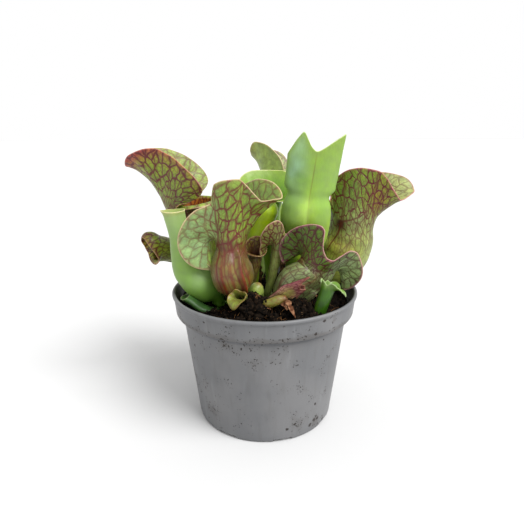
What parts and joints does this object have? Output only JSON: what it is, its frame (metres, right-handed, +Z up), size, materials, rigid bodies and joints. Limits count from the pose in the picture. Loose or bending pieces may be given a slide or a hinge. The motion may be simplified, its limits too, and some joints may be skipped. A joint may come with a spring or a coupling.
{
  "type": "potted pitcher plant",
  "caption": "Low purple pitcher plant with veined, flared pitchers and a tall young pitcher, growing from soil in a tapered plastic nursery pot.",
  "frame": {"origin": "centre of the pot's underside, on the surface it stands on", "axes": "+Z up the pot; -Y towards the viewer of the main view; +X to that viewer's right"},
  "size_m": [0.1404, 0.0963, 0.1371],
  "materials": {
    "pot_plastic": "matt grey moulded plastic, specked with soil",
    "soil": "dark crumbly peat with brown fibres",
    "rhizome": "rough brown stem",
    "veined_leaf": "green skin with a net of dark red veins and a pink margin",
    "young_leaf": "smooth pale green skin with a whitish bloom",
    "lime_leaf": "smooth yellow-green skin",
    "dark_leaf": "smooth dark green skin",
    "bright_leaf": "bright green skin with a ragged edge",
    "withered_leaf": "dry purple-brown leaf"
  },
  "bodies": {
    "root": {"pot": "pot_plastic", "soil": "soil", "rhizome": "rhizome", "pitcher_rear_left": "veined_leaf", "pitcher_front_left": "veined_leaf", "pitcher_right": "veined_leaf", "pitcher_front_right": "veined_leaf", "pitcher_far_left": "veined_leaf", "pitcher_rear_center": "young_leaf", "pitcher_rear_green": "young_leaf", "young_pitcher_center": "young_leaf", "young_pitcher_left": "young_leaf", "young_pitcher_lime": "lime_leaf", "pitcher_center_folded": "veined_leaf", "pitcher_center_small": "veined_leaf", "leaf_low_left": "dark_leaf", "leaf_stub_right": "bright_leaf", "leaf_withered": "withered_leaf", "leaf_ragged_front": "lime_leaf", "stump_center": "young_leaf", "stump_rear": "withered_leaf", "stump_yellow": "lime_leaf"}
  },
  "joints": []
}
